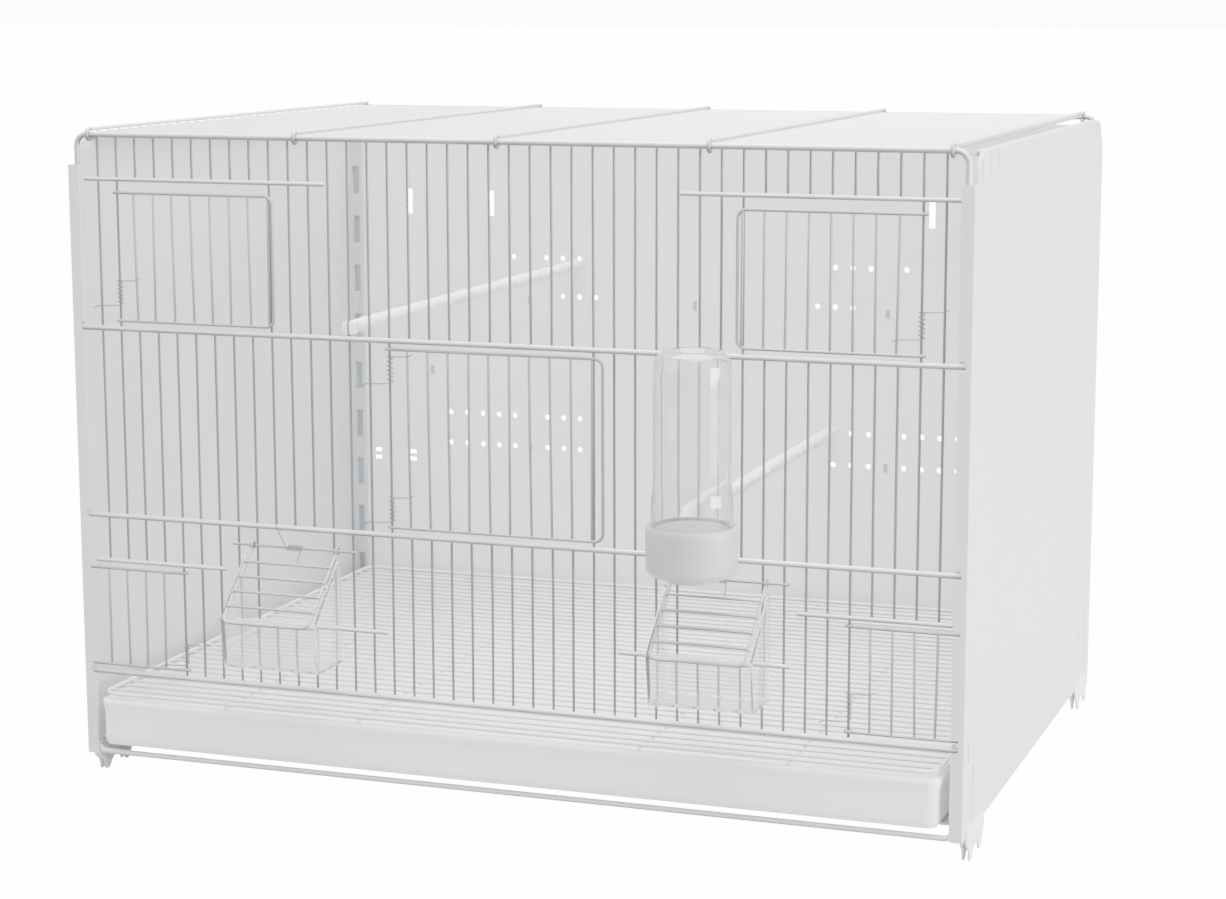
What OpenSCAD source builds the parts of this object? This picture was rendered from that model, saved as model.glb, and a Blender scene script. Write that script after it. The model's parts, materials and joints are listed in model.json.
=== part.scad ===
/* [Cage] */
// Width over the outer faces of the side panels
cage_w = 550; // [440:1:680]
// Depth from the front flanges to the rear edges of the side panels
cage_d = 400; // [330:1:500]
// Height of the foot tips below the side panels
foot_drop = 14.7; // [10:0.1:20]
// Height from the side panels' bottom edge to the lowest front rail
base_h = 52; // [48:1:66]
// Height from the lowest front rail to the rail above it
low_h = 98; // [90:1:120]
// Height of the middle tier of the front
mid_h = 115; // [95:1:140]
// Height of the top tier of the front
top_h = 116; // [95:1:140]
// Thickness of the plastic panels
panel_t = 2; // [1.5:0.1:2.6]
// Width of the panels' front flanges
flange_w = 7.5; // [6.5:0.1:10]

/* [Wire] */
// Number of upright bars across the front
bar_count = 42; // [40:2:46]
// Distance from the cage's outer faces to the first and last bars
bar_margin = 16.7; // [15:0.1:20]
// Diameter of the upright bars
bar_d = 1.6; // [1.4:0.1:2]
// Diameter of the cross rails of the front
rail_d = 3.2; // [2.8:0.1:3.6]
// Diameter of the top rails and of the bottom wires
top_d = 3.6; // [3.2:0.1:4]
// Diameter of the partial rails above the door openings
part_d = 2.6; // [2.2:0.1:2.8]
// Diameter of the door and flap frames
door_d = 2.2; // [1.8:0.1:2.6]
// Radius of the bends where the top rails turn down
bend_r = 7; // [6:0.5:9]
// Air gap that stands for the weld between crossing wires
weld = 0.05; // [0.05:0.01:0.1]

/* [Roof and floor] */
// Spacing of the roof wires
roof_pitch = 12; // [10:0.5:16]
// Diameter of the roof and floor wires
roof_d = 1.8; // [1.5:0.1:2]
// Diameter of the five roof cross wires and of the floor frame
cross_d = 2.4; // [2:0.1:2.8]
// Spacing of the floor wires
floor_pitch = 11; // [9:0.5:14]
// Height of the tray
tray_h = 29.5; // [22:0.5:31]
// Wall of the tray
tray_t = 1.8; // [1.5:0.1:2.4]
// Distance the tray and the floor frame stand in front of the front rails
nose = 8; // [6:0.5:10]

/* [Doors] */
// Distance from a rail to the arm of the door beside it
door_gap = 5; // [4.4:0.1:6]
// Radius of the doors' free corners
door_corner = 8; // [5:0.5:9]
// Radial clearance of the door loops on their hinge bars
loop_gap = 0.08; // [0.04:0.01:0.1]
// Drop of the upper partial rails below the top rail
upper_drop = 26.5; // [20:0.5:30]
// Drop of the lower partial rails below the third rail
lower_drop = 28; // [24:0.5:32]
// Diameter of the spring wire
spring_wire = 0.7; // [0.5:0.05:0.8]
// Turns in each spring
spring_turns = 6; // [4:1:7]

/* [Feeders] */
// Width of a feeder
feeder_w = 62; // [54:1:64]
// Reach of a feeder in front of the bars
feeder_reach = 36; // [30:1:42]
// Wall of the clear plastic
clear_t = 1.5; // [1.2:0.1:2]
// Drop of a feeder's bottom below the feeder rail
feeder_low = 20; // [14:1:24]
// Drop of the feeder rail below the third rail
feeder_drop = 59; // [50:1:64]
// Drop of the flap pivot below the third rail
pivot_drop = 12; // [10:0.5:14]
// Distance the flap's far wire stands in front of its pivot
flap_reach = 42; // [38:1:46]
// Drop of the flap's far wire below its pivot
flap_fall = 38; // [30:1:40]

/* [Drinker] */
// Diameter of the bottle
bottle_d = 44; // [36:1:46]
// Height of the bottle above its cap
bottle_h = 97; // [80:1:100]
// Diameter of the cap
cap_d = 52; // [46:1:54]
// Height of the cap
cap_h = 28; // [22:1:30]
// Gap between the cap and the front rails
cap_gap = 1.8; // [1.6:0.1:3]

/* [Perches] */
// Diameter of a perch
perch_d = 9; // [8:0.1:10]
// Height of the raised rings along a perch
perch_bump = 0.6; // [0.3:0.1:1]

/* [Hidden] */

// Clearance between pieces that only rest on each other
seat = 0.3;
// Clearance that lets a removable piece slide past its neighbour
slip = 2;
round_fn = 32;
// Height of the foot clips above the panels' bottom edges
foot_cap = 4.8;
// Diameter of the tray's rolled rim
tray_roll = 5;

// Heights of the rails above the ground
z_panel = foot_drop;
z_low = z_panel + base_h;
z_third = z_low + low_h;
z_second = z_third + mid_h;
z_top = z_second + top_h;
z_upper = z_top - upper_drop;
z_lower = z_third - lower_drop;
z_feeder = z_third - feeder_drop;
z_pivot = z_third - pivot_drop;

// Depths of the wire layers
rail_in = 4;
front_reach = rail_d / 2 + cap_gap + cap_d - rail_in;
y_front = (front_reach - cage_d) / 2;
y_back = y_front + cage_d;
y_rail = y_front + rail_in;
y_bar = y_rail + (rail_d + bar_d) / 2 + weld;
y_top = y_bar - (top_d + bar_d) / 2 - weld;
y_part = y_bar - (bar_d + part_d) / 2 - weld;
y_pivot = y_bar - bar_d - weld;
y_rear = y_back - 8;
y_rear_top = y_rear + top_d / 2 + 1.6;
loop_r = bar_d / 2 + loop_gap + door_d / 2;
y_door = y_bar - bar_d / 2 - door_d / 2 - 0.45;

// Widths
x_out = cage_w / 2;
x_leg = x_out - panel_t - top_d / 2 - 0.7;
bar_pitch = (cage_w - 2 * bar_margin) / (bar_count - 1);
mid_bar = (bar_count + 1) / 2;
function bar_x(i) = (i - mid_bar) * bar_pitch;
function flip(i) = bar_count + 1 - i;

// Openings in the bars: first bar, last bar, low edge, high edge
lap = 1;
openings = [
    [1, 4, z_low - rail_d, z_lower - lap],
    [flip(4), flip(1), z_low - rail_d, z_lower - lap],
    [10, 12, z_feeder + lap, z_third - lap],
    [flip(12), flip(10), z_feeder + lap, z_third - lap],
    [17, 25, z_third + lap, z_second - lap],
    [3, 9, z_second + lap, z_upper - lap],
    [flip(9), flip(3), z_second + lap, z_upper - lap]];
feeder_bar = 11;

// ---------- wire helpers ----------
module rod_x(x0, x1, y, z, d) {
    translate([min(x0, x1), y, z])
        rotate([0, 90, 0])
            cylinder(h = abs(x1 - x0), d = d, $fn = round_fn);
}

module rod_y(x, y0, y1, z, d) {
    translate([x, max(y0, y1), z])
        rotate([90, 0, 0])
            cylinder(h = abs(y1 - y0), d = d, $fn = round_fn);
}

module rod_z(x, y, z0, z1, d) {
    translate([x, y, min(z0, z1)])
        cylinder(h = abs(z1 - z0), d = d, $fn = round_fn);
}

// Straight wire between two points
module rod(a, b, d) {
    v = b - a;
    n = norm(v);
    translate(a)
        rotate([0, acos(v.z / n), atan2(v.y, v.x)])
            cylinder(h = n, d = d, $fn = round_fn);
}

// Bend of a wire about a centre, in the plane of its own X and Y
module bend(r, d, angle) {
    rotate_extrude(angle = angle, $fn = 64)
        translate([r, 0])
            circle(d = d, $fn = round_fn);
}

// Ring of wire round an upright bar
module loop_z(x, z) {
    translate([x, y_bar, z])
        bend(loop_r, door_d, 360);
}

// ---------- panels ----------
corner_r = 18;
top_step = 18;
step_in = 4;
module panel_outline() {
    z_shoulder = z_top - top_step;
    z_crown = z_top - 1;
    r = corner_r - 1;
    polygon(concat(
        [[y_front, z_panel], [y_back, z_panel], [y_back, z_shoulder], [y_back - step_in, z_shoulder + 3]],
        [for (a = [0:10:90]) [y_back - step_in - r + r * cos(a), z_crown - r + r * sin(a)]],
        [for (a = [90:10:180]) [y_front + 2 * step_in + r + r * cos(a), z_crown - r + r * sin(a)]],
        [[y_front + 2 * step_in, z_shoulder], [y_front, z_shoulder]]));
}

// Shallow recesses on the outer face: distance from the front edge, height, length
slot_w = 3.5;
slot_depth = 0.8;
side_slots = [
    [18, z_top - 12, 12], [39, z_top - 8, 14], [60, z_top - 7, 9],
    [13, z_low - 4, 13], [26, z_low - 31, 34],
    [cage_d - 44, z_low - 30, 34], [cage_d - 19, z_low - 18, 34],
    [cage_d - 24, z_top - 8, 11], [cage_d - 58, z_top - 7, 5]];

notch_w = 4.2;
lip_w = 6;
lip_t = 1.6;
window_w = 5;
window_h = 20;
window_pitch = 36;
runner_w = 14;
z_tray = z_panel + 7.5;
z_runner = z_tray - seat - panel_t;
module side_panel(side) {
    mirror([side > 0 ? 0 : 1, 0, 0])
        difference() {
            union() {
                translate([x_out - panel_t, 0, 0])
                    rotate([90, 0, 90])
                        linear_extrude(panel_t)
                            panel_outline();
                // front flange
                translate([x_out - flange_w, y_front, z_panel])
                    cube([flange_w, 1.6, z_top - top_step - z_panel]);
                // rear flange and the post with windows
                translate([x_out - flange_w, y_back - 1.6, z_panel])
                    cube([flange_w, 1.6, z_top - top_step - z_panel]);
                translate([x_out - 12, y_rear - 3.9, z_panel + 6])
                    cube([12, 1.5, z_top - top_step - z_panel - 6]);
                // lip along the top
                translate([x_out - lip_w, y_front + 2 * step_in + corner_r, z_top - 1 - lip_t])
                    cube([lip_w, cage_d - 3 * step_in - 2 * corner_r, lip_t]);
                // ledge that carries the tray
                translate([x_out - panel_t - runner_w, y_front + 14, z_runner])
                    cube([runner_w + 0.5, cage_d - 32, panel_t]);
            }
            // notches for the ends of the cross rails
            for (z = [z_low, z_third, z_second])
                translate([x_out - flange_w - 1, y_front - 1, z - rail_d / 2 - 1])
                    cube([notch_w + 1, 4, rail_d + 3.2]);
            // notches for the free ends of the lower doors' arms
            for (z = z_ld)
                translate([x_out - flange_w - 1, y_front - 1, z - door_d / 2 - 0.6])
                    cube([notch_w + 1, 4, door_d + 1.2]);
            // windows in the rear post
            for (z = [z_panel + 30:window_pitch:z_top - top_step - window_h])
                translate([x_out - 9.5, y_rear - 6, z])
                    cube([window_w, 6, window_h]);
            for (s = side_slots)
                translate([x_out - slot_depth, y_front + s[0] - slot_w / 2, s[1] - s[2] / 2])
                    cube([slot_depth + 1, slot_w, s[2]]);
        }
}
module side_panel_left() { color("whitesmoke") side_panel(-1); }
module side_panel_right() { color("whitesmoke") side_panel(1); }

// Back panel, with air holes on the bars' half pitches and stamped tabs
air_d = 3.8;
// How far the stamped tabs stand off the panel
tab_t = 0.7;
row_top = [7, 8, 9, 11];
row_second = [6, 7, 8];
row_low = [7, 8, 9, 11, 12, 13, 14, 15];
z_back_top = z_top - top_d / 2 - 3;
z_back_low = z_panel + foot_cap + 1;
module air_hole(k, side, z) {
    translate([side * (k + 0.5) * bar_pitch, y_rear + 5, z])
        rotate([90, 0, 0])
            cylinder(h = 10, d = air_d, $fn = 24);
}
module back_window(x, z, w, h) {
    translate([x - w / 2, y_rear - 5, z - h / 2])
        cube([w, 10, h]);
}
module back_panel() {
    color("white") {
        difference() {
            translate([-x_out + panel_t + 0.4, y_rear - 2, z_back_low])
                cube([cage_w - 2 * panel_t - 0.8, panel_t, z_back_top - z_back_low]);
            for (side = [-1, 1]) {
                for (k = row_top)
                    air_hole(k, side, z_top - 105.5);
                for (k = row_second)
                    air_hole(k, side, z_top - 133);
                for (k = row_low) {
                    air_hole(k, side, z_third + 9.7);
                    air_hole(k, side, z_third - 12.8);
                }
                for (x = [162, 226])
                    back_window(side * x, z_top - 67.5, 4.5, 18);
                for (x = [226, 254], drop = [21.5, 27])
                    back_window(side * x, z_third - drop, 5.5, 3);
            }
        }
        for (p = [[-132.3, z_top - 136], [132.3, z_top - 136], [-7, z_top - 136],
                [-132.3, z_third - 12.8], [132.3, z_third - 12.8], [-209, z_third + 40.5], [209, z_third + 40.5]])
            translate([p.x - 2, y_rear - panel_t - tab_t, p.y - 3.5])
                cube([4, tab_t + 0.5, 7]);
    }
}

// ---------- front and rear frames ----------
leg_down = 62;
module bent_rail(y) {
    rod_x(-x_leg + bend_r, x_leg - bend_r, y, z_top, top_d);
    for (side = [-1, 1])
        mirror([side > 0 ? 0 : 1, 0, 0]) {
            translate([x_leg - bend_r, y, z_top - bend_r])
                rotate([90, 0, 0])
                    bend(bend_r, top_d, 90);
            rod_z(x_leg, y, z_top - leg_down, z_top - bend_r, top_d);
        }
}
module top_front_rail() { color("white") bent_rail(y_top); }
module top_rear_rail() { color("white") bent_rail(y_rear_top); }

leg_up = 44;
z_wire = z_panel + 1;
module bottom_wire(y) {
    rod_x(-x_leg + bend_r, x_leg - bend_r, y, z_wire, top_d);
    for (side = [-1, 1])
        mirror([side > 0 ? 0 : 1, 0, 0]) {
            translate([x_leg - bend_r, y, z_wire + bend_r])
                rotate([90, 0, 0])
                    rotate([0, 0, -90])
                        bend(bend_r, top_d, 90);
            rod_z(x_leg, y, z_wire + bend_r, z_wire + leg_up, top_d);
        }
}
module bottom_front_wire() { color("white") bottom_wire(y_top); }
module bottom_rear_wire() { color("white") bottom_wire(y_rear_top); }

rail_end = x_out - flange_w + notch_w - 0.5;
module front_rails() {
    color("white")
        for (z = [z_low, z_third, z_second])
            rod_x(-rail_end, rail_end, y_rail, z, rail_d);
}

// Cuts that touch one bar, from the lowest to the highest
function cuts(i) = [for (o = openings) if (i >= o[0] && i <= o[1]) o];
module front_bar(i) {
    c = cuts(i);
    n = len(c);
    for (k = [0:n]) {
        low = k == 0 ? z_low - lap : c[k - 1][3];
        high = k == n ? z_top + lap : c[k][2];
        if (high > low)
            rod_z(bar_x(i), y_bar, low, high, bar_d);
    }
}
module front_bars() {
    color("white")
        for (i = [1:bar_count])
            front_bar(i);
}

// Short rails that close the bars above the doors and carry the feeders
module partial_rails() {
    color("white")
        for (side = [-1, 1])
            mirror([side < 0 ? 0 : 1, 0, 0]) {
                rod_x(-x_out + flange_w + 0.4, bar_x(12.9), y_part, z_upper, part_d);
                rod_x(-x_out + flange_w + 0.4, bar_x(7.4), y_part, z_lower, part_d);
                rod_x(bar_x(7.65), bar_x(15.8), y_part, z_feeder, part_d);
            }
}
module flap_pivots() {
    color("white")
        for (side = [-1, 1])
            mirror([side < 0 ? 0 : 1, 0, 0])
                rod_x(bar_x(7.7), bar_x(14.2), y_pivot, z_pivot, bar_d);
}

// ---------- feet ----------
foot_len = 44;
web_t = 3;
cheek_t = 1.3;
cheek_gap = 0.1;
module cheek_outline() {
    // height is measured from the panel's bottom edge
    polygon([[0, -4], [5, -8], [7, -foot_drop], [11, -foot_drop], [16, -9], [28, -8], [31, -foot_drop],
        [35, -foot_drop], [foot_len - 4, -8], [foot_len, -3], [foot_len, 2], [foot_len - 6, foot_cap], [0, foot_cap]]);
}
foot_in = 9;
module foot(side, rear) {
    mirror([side > 0 ? 0 : 1, 0, 0])
        translate([0, rear ? y_back - foot_in : y_front + foot_in, z_panel])
            mirror([0, rear ? 1 : 0, 0]) {
                for (x = [x_out + cheek_gap, x_out - panel_t - cheek_gap - cheek_t])
                    translate([x, 0, 0])
                        rotate([90, 0, 90])
                            linear_extrude(cheek_t)
                                cheek_outline();
                // web under the panel's edge
                translate([x_out - panel_t - cheek_gap - cheek_t / 2, 1, -web_t - seat])
                    cube([panel_t + 2 * cheek_gap + cheek_t, foot_len - 3, web_t]);
            }
}
module foot_front_left() { color("ghostwhite") foot(-1, false); }
module foot_front_right() { color("ghostwhite") foot(1, false); }
module foot_rear_left() { color("ghostwhite") foot(-1, true); }
module foot_rear_right() { color("ghostwhite") foot(1, true); }

// ---------- roof ----------
hook_r = top_d / 2 + cross_d / 2 + weld;
hook_turn = 185;
// the hooks are a hair thinner than the straight wire they grow from
hook_thin = 0.04;
z_cross = z_top + hook_r;
z_roof = z_cross - (cross_d + roof_d) / 2 - weld;
roof_end = x_leg - bend_r - cross_d / 2 - 0.4;
roof_count = floor((y_rear - y_rail - 20) / roof_pitch);
roof_step = (y_rear - y_rail - 20) / roof_count;
cross_x = [-roof_end, -10 * bar_pitch, 0, 10 * bar_pitch, roof_end];
module roof_wires() {
    color("white")
        for (i = [0:roof_count])
            rod_x(-roof_end - 1, roof_end + 1, y_rail + 10 + i * roof_step, z_roof, roof_d);
}
module roof_cross_wires() {
    color("white")
        for (x = cross_x) {
            rod_y(x, y_top, y_rear_top, z_cross, cross_d);
            translate([x, y_top, z_top])
                rotate([0, 90, 0])
                    rotate([0, 0, 180])
                        bend(hook_r, cross_d - hook_thin, hook_turn);
            translate([x, y_rear_top, z_top])
                rotate([0, 90, 0])
                    rotate([0, 0, 180 - hook_turn])
                        bend(hook_r, cross_d - hook_thin, hook_turn);
        }
}

// ---------- floor grille and tray ----------
tray_x = x_out - flange_w - slip - 2.5;
y_nose = y_rail - nose;
y_tray_front = y_nose - tray_roll / 2;
y_tray_back = y_rear - 3.9 - slip;
z_rim = z_tray + tray_h;
z_brace = z_rim + seat + roof_d / 2;
z_frame = z_brace + (roof_d + cross_d) / 2 + weld;
z_floor = z_brace + roof_d + weld;
frame_x = tray_x - tray_roll / 2;
frame_corner = 9;
y_frame_back = y_tray_back - tray_roll / 2;
module tray() {
    color("white")
        difference() {
            union() {
                translate([-tray_x, y_tray_front, z_tray])
                    cube([2 * tray_x, y_tray_back - y_tray_front, tray_h - tray_roll / 2]);
                for (y = [y_nose, y_tray_back - tray_roll / 2])
                    rod_x(-tray_x, tray_x, y, z_rim - tray_roll / 2, tray_roll);
                for (x = [-tray_x + tray_roll / 2, tray_x - tray_roll / 2])
                    rod_y(x, y_nose, y_tray_back - tray_roll / 2,
                        z_rim - tray_roll / 2, tray_roll);
            }
            translate([-tray_x + tray_t, y_tray_front + tray_t, z_tray + tray_t])
                cube([2 * (tray_x - tray_t), y_tray_back - y_tray_front - 2 * tray_t, tray_h - tray_roll - tray_t]);
            translate([-tray_x + tray_roll, y_tray_front + tray_roll, z_tray + tray_t + 1])
                cube([2 * (tray_x - tray_roll), y_tray_back - y_tray_front - 2 * tray_roll, tray_h]);
        }
}
module floor_frame() {
    color("white") {
        for (y = [y_nose, y_frame_back])
            rod_x(-frame_x + frame_corner, frame_x - frame_corner, y, z_frame, cross_d);
        for (x = [-frame_x, frame_x])
            rod_y(x, y_nose + frame_corner, y_frame_back - frame_corner, z_frame, cross_d);
        for (sx = [-1, 1], sy = [-1, 1])
            translate([sx * (frame_x - frame_corner),
                    sy < 0 ? y_nose + frame_corner : y_frame_back - frame_corner, z_frame])
                mirror([sx < 0 ? 1 : 0, 0, 0])
                    mirror([0, sy < 0 ? 1 : 0, 0])
                        bend(frame_corner, cross_d, 90);
    }
}
floor_edge = 10;
floor_count = floor((y_frame_back - y_nose - 2 * floor_edge) / floor_pitch);
floor_step = (y_frame_back - y_nose - 2 * floor_edge) / floor_count;
brace_x = 7 * bar_pitch;
floor_in = cross_d / 2 + weld;
brace_out = 2;
module floor_wires() {
    color("white") {
        for (i = [0:floor_count])
            rod_x(-frame_x + floor_in, frame_x - floor_in, y_nose + floor_edge + i * floor_step, z_floor, roof_d);
        for (x = [-2 * brace_x, -brace_x, brace_x, 2 * brace_x])
            rod_y(x, y_nose - brace_out, y_frame_back + cross_d / 2, z_brace, roof_d);
    }
}

// ---------- doors ----------
module door_arm(h, f, z) {
    s = sign(f - h);
    loop_z(h, z);
    rod_x(h - s * 1.2, f, y_door, z, door_d);
}
module door_bars(first, last, z0, z1) {
    for (i = [first:last])
        rod_z(bar_x(i), y_door, z0, z1, bar_d);
}
// Door closed on three sides by one bent wire, hinged at bar h, with its free side at bar f
module bent_door(h, f, first, last, z0, z1) {
    xf = bar_x(f);
    s = sign(f - h);
    color("white") {
        for (z = [z0, z1])
            door_arm(bar_x(h), xf - s * door_corner, z);
        rod_z(xf, y_door, z0 + door_corner, z1 - door_corner, door_d);
        for (up = [0, 1])
            translate([xf - s * door_corner, y_door, up ? z1 - door_corner : z0 + door_corner])
                mirror([s < 0 ? 1 : 0, 0, 0])
                    mirror([0, 0, up ? 0 : 1])
                        rotate([90, 0, 0])
                            bend(door_corner, door_d, 90);
        door_bars(first, last, z0, z1);
    }
}
// Door of two straight arms whose ends lie in notches of the side panel's flange
module open_door(h, first, last, z0, z1) {
    xf = sign(bar_x(h)) * rail_end;
    color("white") {
        for (z = [z0, z1])
            door_arm(bar_x(h), xf, z);
        door_bars(first, last, z0, z1);
    }
}
z_ud = [z_second + door_gap, z_upper - 8];
z_cd = [z_third + door_gap, z_second - door_gap];
z_ld = [z_low + door_gap, z_lower - door_gap];
module door_upper_left() { bent_door(2, 10.2, 3, 9, z_ud[0], z_ud[1]); }
module door_upper_right() { bent_door(flip(2), flip(10.2), flip(9), flip(3), z_ud[0], z_ud[1]); }
module door_centre() { bent_door(16, 26.5, 17, 25, z_cd[0], z_cd[1]); }
module door_lower_left() { open_door(5, 1, 4, z_ld[0], z_ld[1]); }
module door_lower_right() { open_door(flip(5), flip(4), flip(1), z_ld[0], z_ld[1]); }

// ---------- springs ----------
coil_r = bar_d / 2 + spring_wire / 2 + 0.45;
coil_steps = 10;
wire_sides = 6;
// Ring of points round the spring wire at one step of the coil, which climbs along Z
function coil_ring(k, rise) = [for (j = [0:wire_sides - 1])
    let (a = 360 * k / coil_steps, b = 360 * j / wire_sides, r = coil_r + spring_wire / 2 * cos(b))
        [r * cos(a), r * sin(a), k * rise / (coil_steps * spring_turns) + spring_wire / 2 * sin(b)]];
module coil(rise) {
    n = coil_steps * spring_turns;
    points = [for (k = [0:n]) each coil_ring(k, rise)];
    sides = [for (k = [0:n - 1], j = [0:wire_sides - 1])
        [k * wire_sides + (j + 1) % wire_sides, (k + 1) * wire_sides + (j + 1) % wire_sides,
            (k + 1) * wire_sides + j, k * wire_sides + j]];
    polyhedron(points, concat(sides,
        [[for (j = [wire_sides - 1:-1:0]) j]],
        [[for (j = [0:wire_sides - 1]) n * wire_sides + j]]));
}
// Spring on an upright bar: the low leg runs to one side and the high leg to the other
module bar_spring(i, z, rise, low_side) {
    x = bar_x(i);
    // in front of the bars and of the door's own bars
    y_leg = y_door - door_d / 2 - spring_wire / 2 - 0.2;
    color("lightgray") {
        translate([x, y_bar, z])
            rotate([0, 0, -90])
                coil(rise);
        for (up = [0, 1]) {
            s = up ? -low_side : low_side;
            zl = up ? z + rise : z;
            rod([x, y_bar - coil_r, zl], [x + s * 2.5, y_leg, zl], spring_wire);
            rod([x + s * 2.5, y_leg, zl], [x + s * (bar_pitch + 3.5), y_leg, zl + (up ? 2 : -2)], spring_wire);
        }
    }
}
module spring_upper_left() { bar_spring(2, z_ud[0] + 9, 15, -1); }
module spring_upper_right() { bar_spring(flip(2), z_ud[0] + 9, 15, -1); }
module spring_centre_top() { bar_spring(16, z_cd[1] - 20, 16, -1); }
module spring_centre_low() { bar_spring(16, z_cd[0] + 3, 15, -1); }
module spring_lower_left() { bar_spring(5, z_ld[0] + 3, 13, -1); }
module spring_lower_right() { bar_spring(flip(5), z_ld[0] + 6, 16, -1); }

// ---------- feeder flaps ----------
flap_half = 2.2 * bar_pitch;
flap_len = norm([flap_reach, flap_fall]);
flap_angle = atan2(flap_fall, flap_reach);
flap_corner = 5;
flap_loop_r = loop_r;
// Flap in its own plane: Y runs from the pivot down to the far wire
module flap_flat() {
    for (s = [-1, 1]) {
        translate([s * flap_half, 0, 0])
            rotate([0, 90, 0])
                bend(flap_loop_r, door_d, 360);
        rod_y(s * flap_half, -flap_loop_r, -flap_len + flap_corner, 0, door_d);
        translate([s * (flap_half - flap_corner), -flap_len + flap_corner, 0])
            mirror([s < 0 ? 1 : 0, 0, 0])
                mirror([0, 1, 0])
                    bend(flap_corner, door_d, 90);
    }
    rod_x(-flap_half + flap_corner, flap_half - flap_corner, -flap_len, 0, door_d);
    for (k = [1:4])
        rod_x(-flap_half, flap_half, -flap_len * (k + 0.25) / 5.25, door_d / 2 + bar_d / 2 - 0.3, bar_d);
}
module flap(side) {
    color("white")
        translate([side * bar_x(flip(feeder_bar)), y_pivot, z_pivot])
            rotate([flap_angle, 0, 0])
                flap_flat();
}
module flap_left() { flap(-1); }
module flap_right() { flap(1); }
// Spring on a flap pivot: one leg up over the third rail, one down over the flap
module flap_spring(side) {
    rise = 10;
    x0 = side * bar_x(flip(feeder_bar)) - rise / 2;
    // height of the low leg's tip over the middle of the flap's wires
    lift = door_d / 2 + bar_d + 2.4;
    down = flap_len * 0.3;
    y_leg = y_rail - rail_d / 2 - spring_wire / 2 - 0.5;
    color("lightgray") {
        translate([x0, y_pivot, z_pivot])
            rotate([0, 90, 0])
                rotate([0, 0, -90])
                    coil(rise);
        rod([x0, y_pivot - coil_r, z_pivot - 0.25], [x0 - 6, y_leg, z_third + 2], spring_wire);
        rod([x0 + rise, y_pivot - coil_r, z_pivot],
            [x0 + rise + 2, y_pivot - down * cos(flap_angle), z_pivot - down * sin(flap_angle) + lift],
            spring_wire);
    }
}
module flap_spring_left() { flap_spring(-1); }
module flap_spring_right() { flap_spring(1); }

// ---------- feeders ----------
y_feeder = y_part - part_d / 2 - seat;
z_feeder_low = z_feeder - feeder_low;
front_wall_y = feeder_reach - 1;
// Height of the flap's underside in front of its pivot
function flap_under(y) = z_pivot - (y_pivot - y) * flap_fall / flap_reach - door_d / 2 / cos(flap_angle) - seat;
z_feeder_top = flap_under(y_feeder - front_wall_y - 2) - 0.2;
module feeder_outline(inset, top) {
    polygon([
        [y_feeder - inset, z_feeder_low + inset],
        [y_feeder - front_wall_y + inset + 3, z_feeder_low + inset],
        [y_feeder - front_wall_y + inset - 1, top],
        [y_feeder - inset, top]]);
}
cheek_top = 33;
module feeder(side) {
    xc = side * bar_x(flip(feeder_bar));
    color("aliceblue", 0.5)
        difference() {
            union() {
                translate([xc - feeder_w / 2, 0, 0])
                    rotate([90, 0, 90])
                        linear_extrude(feeder_w)
                            feeder_outline(0, z_feeder_top);
                // side cheeks that rise beside the flap
                for (s = [0, 1])
                    translate([xc - feeder_w / 2 + s * (feeder_w - clear_t), 0, 0])
                        rotate([90, 0, 90])
                            linear_extrude(clear_t)
                                polygon([[y_feeder, z_feeder_top], [y_feeder - front_wall_y - 1, z_feeder_top],
                                    [y_feeder - 3, z_feeder_top + cheek_top], [y_feeder, z_feeder_top + cheek_top]]);
            }
            translate([xc - feeder_w / 2 + clear_t, 0, 0])
                rotate([90, 0, 90])
                    linear_extrude(feeder_w - 2 * clear_t)
                        feeder_outline(clear_t, z_feeder_top + cheek_top);
            // mouth towards the birds, above the feeder rail
            translate([xc - feeder_w / 2 + clear_t, y_feeder - clear_t - 1, z_feeder + part_d])
                cube([feeder_w - 2 * clear_t, clear_t + 2, 60]);
        }
}
module feeder_left() { feeder(-1); }
module feeder_right() { feeder(1); }

// ---------- drinker ----------
x_drinker = bar_x(31.5);
y_drinker = y_rail - rail_d / 2 - cap_gap - cap_d / 2;
spout_d = bar_pitch - bar_d - 2 * seat;
z_spout = z_third + rail_d / 2 + seat + spout_d / 2;
z_cap = z_spout - spout_d / 2 - 5;
z_shoulder = z_cap + cap_h + bottle_h;
shoulder_r = 8;
neck_in = 10;
module bottle_profile(inset) {
    r = bottle_d / 2 - inset;
    top = z_shoulder - inset;
    polygon(concat(
        [[0, z_cap + cap_h - neck_in + (inset > 0 ? -1 : 0)], [r + 1, z_cap + cap_h - neck_in + (inset > 0 ? -1 : 0)],
            [r + 1, z_cap + cap_h + 12], [r, z_cap + cap_h + 30]],
        [for (a = [0:15:90]) [r - shoulder_r + shoulder_r * cos(a), top - shoulder_r + shoulder_r * sin(a)]],
        [[0, top]]));
}
module bottle() {
    color("aliceblue", 0.4)
        translate([x_drinker, y_drinker, 0])
            difference() {
                rotate_extrude($fn = 64)
                    bottle_profile(0);
                rotate_extrude($fn = 64)
                    bottle_profile(clear_t);
            }
}
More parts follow.
